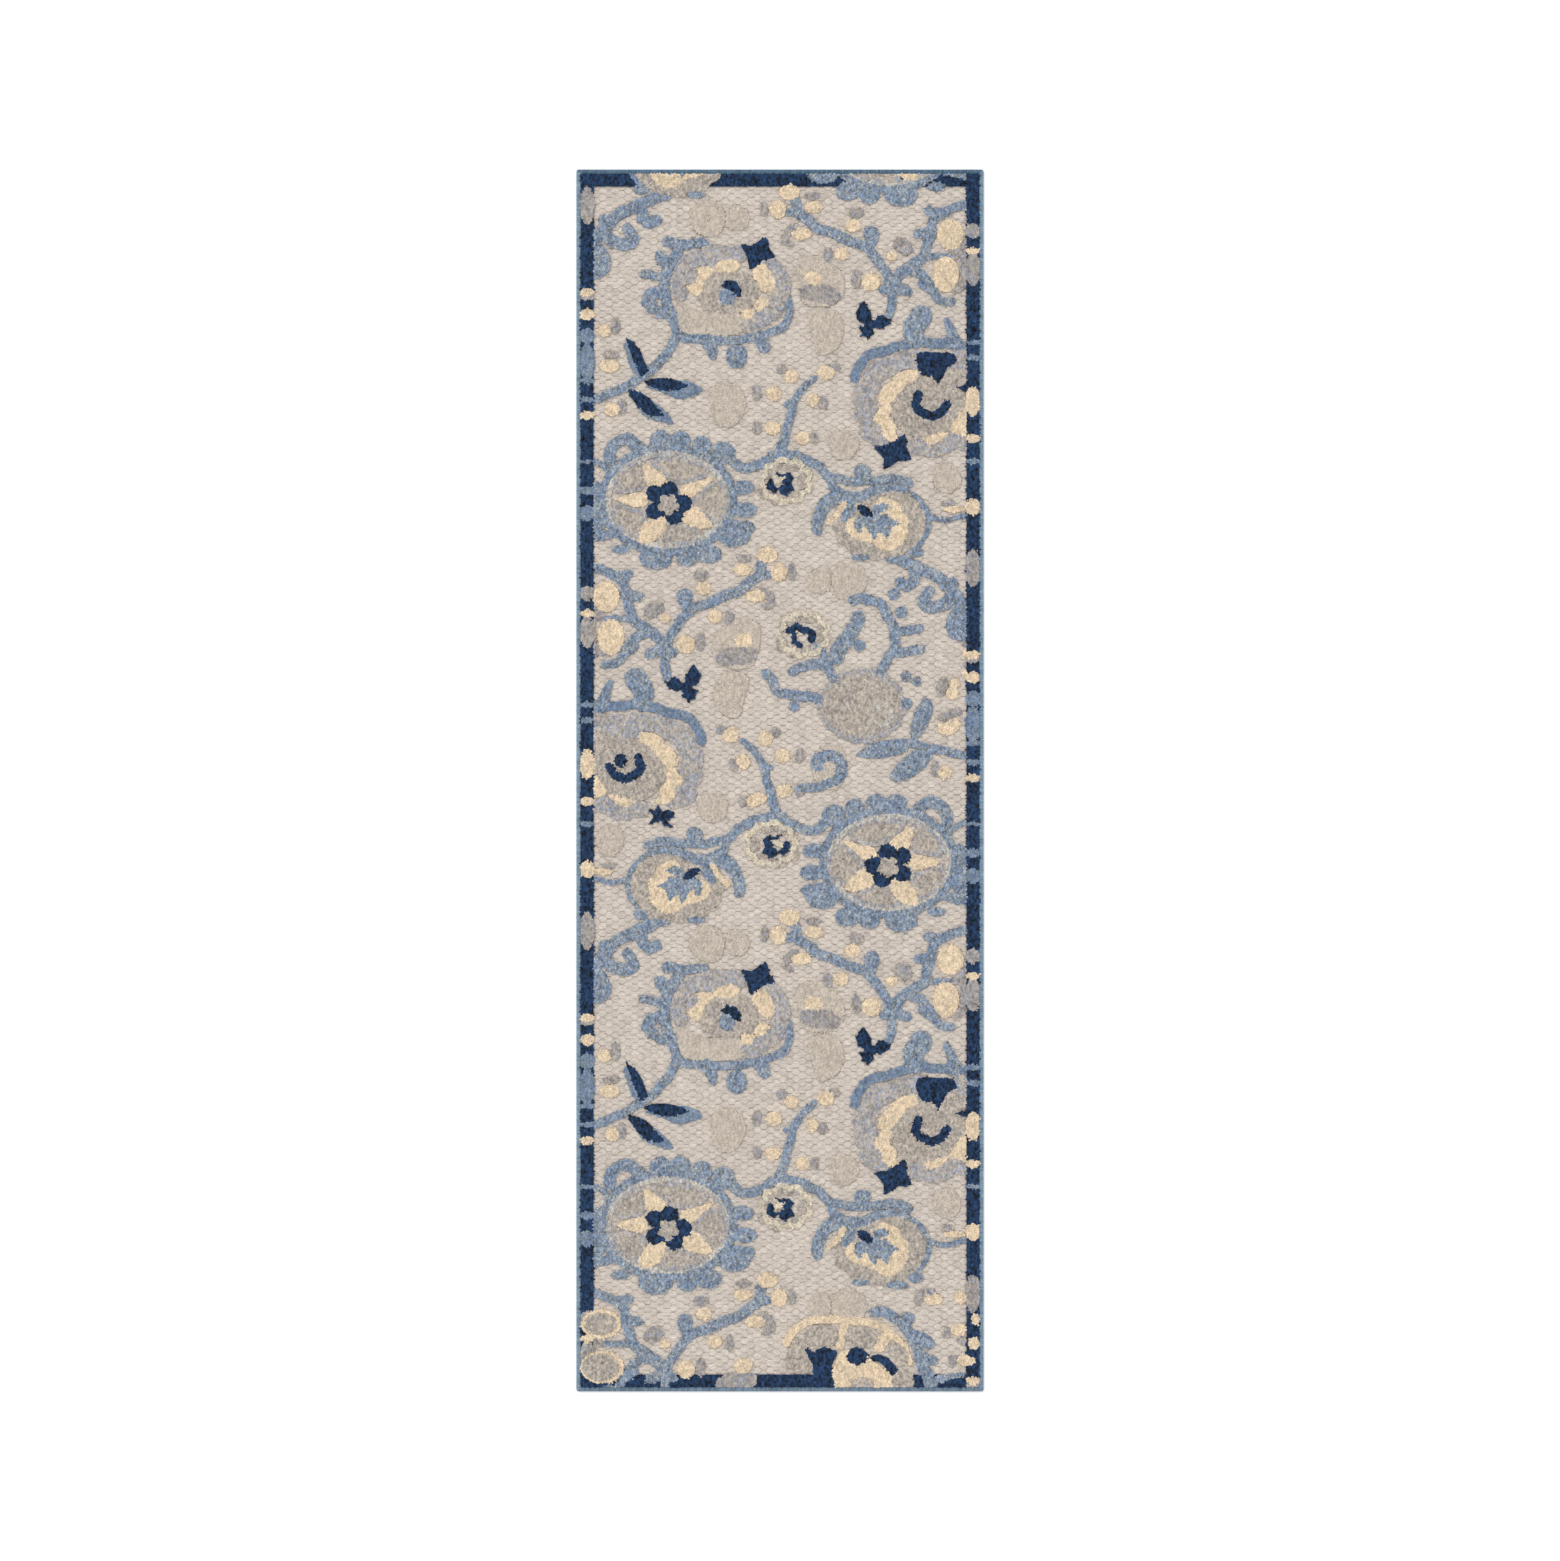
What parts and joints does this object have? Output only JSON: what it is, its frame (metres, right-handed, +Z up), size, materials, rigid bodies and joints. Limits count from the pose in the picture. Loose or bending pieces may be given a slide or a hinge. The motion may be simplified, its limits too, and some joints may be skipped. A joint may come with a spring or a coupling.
{
  "type": "runner rug",
  "caption": "Long narrow floor rug with a flat net-woven ground, raised cut-pile vine and flower motifs, a dark pile border and an overcast edge; lies flat to cover a walkway.",
  "frame": {"origin": "middle of the underside of the rug, on the floor", "axes": "+X across the width, +Y along the length, +Z up out of the pile"},
  "size_m": [0.61, 1.829, 0.0065],
  "materials": {
    "back_coat": "matt synthetic latex coat on the back, with the weave showing through",
    "weft_yarn": "flattened spun weft yarn",
    "warp_yarn": "flat tape stuffer yarn",
    "ground_yarn": "flat woven polypropylene net, matt",
    "serging_yarn": "overcast edge yarn with a soft sheen",
    "denim_pile": "cut pile, denim blue heather",
    "pale_blue_pile": "cut pile, pale blue heather",
    "heather_pile": "cut pile, blue-grey heather",
    "navy_pile": "dense cut pile, navy",
    "cream_pile": "cut pile, warm cream",
    "taupe_pile": "cut pile, taupe heather",
    "lilac_pile": "cut pile, lilac grey",
    "greige_pile": "low cut pile, greige",
    "mist_pile": "cut pile, pale cream and grey heather"
  },
  "bodies": {
    "root": {"back_coat": "back_coat", "weft_under": "weft_yarn", "stuffer_warp": "warp_yarn", "weft_over": "weft_yarn", "ground_weave": "ground_yarn", "serging_left": "serging_yarn", "serging_right": "serging_yarn", "serging_far": "serging_yarn", "serging_near": "serging_yarn", "ghost_patches": "greige_pile", "border_band": "navy_pile", "berry_shades": "lilac_pile", "sprig_stems": "denim_pile", "berry_branches": "denim_pile", "main_vines": "denim_pile", "scrolls": "denim_pile", "peony_arches": "pale_blue_pile", "peony_petals": "heather_pile", "peony_leaves": "denim_pile", "tear_petals": "taupe_pile", "tear_outlines": "denim_pile", "round_petals": "heather_pile", "small_petals": "taupe_pile", "pineapple_scallops": "heather_pile", "pineapple_bodies": "taupe_pile", "pineapple_leaves": "denim_pile", "blue_leaves": "denim_pile", "medallion_fringes": "denim_pile", "medallion_rims": "mist_pile", "medallion_petals": "taupe_pile", "medallion_shades": "heather_pile", "medallion_stars": "cream_pile", "medallion_hearts": "navy_pile", "medallion_eyes": "taupe_pile", "round_ruffs": "cream_pile", "round_discs": "taupe_pile", "round_eyes": "denim_pile", "round_crescents": "navy_pile", "peony_ruffs": "cream_pile", "peony_discs": "taupe_pile", "peony_crescents": "navy_pile", "peony_caps": "navy_pile", "tear_cups": "cream_pile", "tear_lobes": "denim_pile", "tear_seeds": "navy_pile", "small_rings": "cream_pile", "small_spots": "navy_pile", "pineapple_collars": "mist_pile", "leaf_edges": "pale_blue_pile", "navy_leaves": "navy_pile", "trefoils": "navy_pile", "stars": "navy_pile", "dark_sprigs": "navy_pile", "end_petals": "taupe_pile", "end_body": "cream_pile", "end_vines": "denim_pile", "end_shades": "lilac_pile", "end_stems": "navy_pile", "berries": "cream_pile"}
  },
  "joints": []
}
